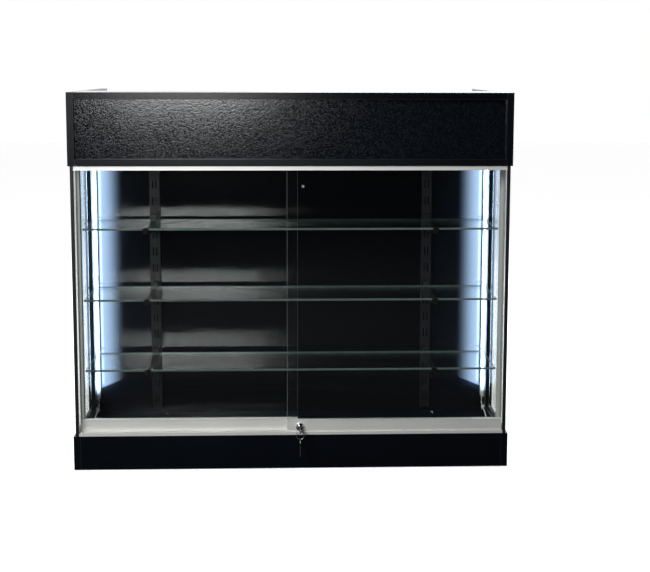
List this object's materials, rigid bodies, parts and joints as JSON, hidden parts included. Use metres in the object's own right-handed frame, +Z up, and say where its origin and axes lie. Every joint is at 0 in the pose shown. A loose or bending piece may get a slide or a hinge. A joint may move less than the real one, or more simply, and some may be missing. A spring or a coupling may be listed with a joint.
{
  "type": "glass display showcase",
  "caption": "Ledge-top store counter whose front is a lit glass case with sliding doors, a plunger lock, glass shelves on slotted standards and open storage behind.",
  "frame": {"origin": "on the floor under the centre glide, midway across the cabinet's width and depth", "axes": "+X to the right as seen from the sliding doors, the doors face -Y, +Z up"},
  "size_m": [1.219, 0.654, 1.057],
  "materials": {
    "black_laminate": "satin black melamine-faced board with black edge band",
    "textured_laminate": "black laminate with a pebble texture",
    "wall_laminate": "semi-gloss black melamine board",
    "glide_plastic": "black nylon glide",
    "wood_block": "raw softwood block",
    "zinc_steel": "bright zinc plated steel",
    "clear_glass": "clear float glass with polished green edges",
    "edge_plastic": "black plastic edge channel",
    "satin_aluminium": "satin anodised aluminium extrusion",
    "seal_rubber": "black rubber",
    "roller_nylon": "natural nylon",
    "lock_chrome": "polished chrome plate",
    "plug_brass": "machined brass",
    "key_nickel": "nickel plated steel",
    "black_steel": "black powder coat",
    "led_lens": "opal lens, lit cool white",
    "led_board": "white circuit board",
    "lead_pvc": "pale grey PVC lead",
    "driver_case": "off-white plastic case",
    "inlet_plastic": "black moulded plastic",
    "mains_pvc": "black PVC lead"
  },
  "bodies": {
    "cabinet": {"side_panel_left": "black_laminate", "side_panel_right": "black_laminate", "kick_plate": "black_laminate", "rear_kick": "black_laminate", "track_rail": "black_laminate", "deck": "black_laminate", "case_top": "black_laminate", "ledge_top": "black_laminate", "header_panel": "textured_laminate", "header_back": "black_laminate", "back_wall": "wall_laminate", "levelling_glides": "glide_plastic", "glide_blocks": "wood_block", "storage_shelf": "black_laminate", "shelf_pins": "zinc_steel", "side_glass_left": "clear_glass", "side_glass_right": "clear_glass", "glass_edge_left": "edge_plastic", "glass_edge_right": "edge_plastic", "jamb_left": "satin_aluminium", "jamb_right": "satin_aluminium", "jamb_seals": "seal_rubber", "upper_track": "satin_aluminium", "lower_track": "satin_aluminium", "track_screws": "zinc_steel", "standard_left": "black_steel", "standard_right": "black_steel", "wall_screws": "zinc_steel", "brackets_upper": "black_steel", "brackets_middle": "black_steel", "brackets_lower": "black_steel", "bracket_tips": "seal_rubber", "glass_shelf_upper": "clear_glass", "glass_shelf_middle": "clear_glass", "glass_shelf_lower": "clear_glass", "led_channel_left": "satin_aluminium", "led_channel_right": "satin_aluminium", "led_diffusers": "led_lens", "led_boards": "led_board", "led_lead_left": "lead_pvc", "led_lead_right": "lead_pvc", "led_driver": "driver_case", "power_inlet": "inlet_plastic", "driver_lead": "mains_pvc"},
    "left_door": {"left_door_glass": "clear_glass", "left_door_shoe": "satin_aluminium", "left_roller_axles": "zinc_steel"},
    "right_door": {"right_door_glass": "clear_glass", "right_door_shoe": "satin_aluminium", "right_roller_axles": "zinc_steel", "lock_collar": "lock_chrome"},
    "left_roller_outer": {"left_roller_outer": "roller_nylon"},
    "left_roller_inner": {"left_roller_inner": "roller_nylon"},
    "right_roller_outer": {"right_roller_outer": "roller_nylon"},
    "right_roller_inner": {"right_roller_inner": "roller_nylon"},
    "plunger": {"lock_plunger": "lock_chrome"},
    "key": {"key_plug": "plug_brass", "door_key": "key_nickel"},
    "ring": {"key_ring": "key_nickel"},
    "spare": {"spare_key": "key_nickel"}
  },
  "joints": [
    {"name": "left_door_slide", "type": "slide", "parent": "cabinet", "child": "left_door", "axis": [1, 0, 0], "range_m": [0, 0.575]},
    {"name": "right_door_slide", "type": "slide", "parent": "cabinet", "child": "right_door", "axis": [-1, 0, 0], "range_m": [0, 0.575]},
    {"name": "left_outer_spin", "type": "hinge", "parent": "left_door", "child": "left_roller_outer", "pos_m": [-0.532, -0.277, 0.1098], "axis": [0, 1, 0], "range_deg": [0, 5500]},
    {"name": "left_inner_spin", "type": "hinge", "parent": "left_door", "child": "left_roller_inner", "pos_m": [-0.043, -0.277, 0.1098], "axis": [0, 1, 0], "range_deg": [0, 5500]},
    {"name": "right_outer_spin", "type": "hinge", "parent": "right_door", "child": "right_roller_outer", "pos_m": [0.532, -0.295, 0.1098], "axis": [0, 1, 0], "range_deg": [-5500, 0]},
    {"name": "right_inner_spin", "type": "hinge", "parent": "right_door", "child": "right_roller_inner", "pos_m": [0.107, -0.295, 0.1098], "axis": [0, 1, 0], "range_deg": [-5500, 0]},
    {"name": "lock_push", "type": "slide", "parent": "right_door", "child": "plunger", "axis": [0, 1, 0], "range_m": [0, 0.005], "stiffness_N_per_m": 200},
    {"name": "key_turn", "type": "hinge", "parent": "plunger", "child": "key", "pos_m": [0.023, -0.315, 0.1205], "axis": [0, 1, 0], "range_deg": [0, 90]},
    {"name": "ring_swing", "type": "hinge", "parent": "key", "child": "ring", "pos_m": [0.023, -0.338, 0.1187], "axis": [1, 0, 0], "range_deg": [-60, 5]},
    {"name": "spare_key_swing", "type": "hinge", "parent": "ring", "child": "spare", "pos_m": [0.023, -0.338, 0.0967], "axis": [1, 0, 0], "range_deg": [-40, 10]}
  ],
  "couplings": [
    {"joint": "left_outer_spin", "follows": "left_door_slide", "rad_per_m": 166.67},
    {"joint": "left_inner_spin", "follows": "left_door_slide", "rad_per_m": 166.67},
    {"joint": "right_outer_spin", "follows": "right_door_slide", "rad_per_m": -166.67},
    {"joint": "right_inner_spin", "follows": "right_door_slide", "rad_per_m": -166.67}
  ]
}
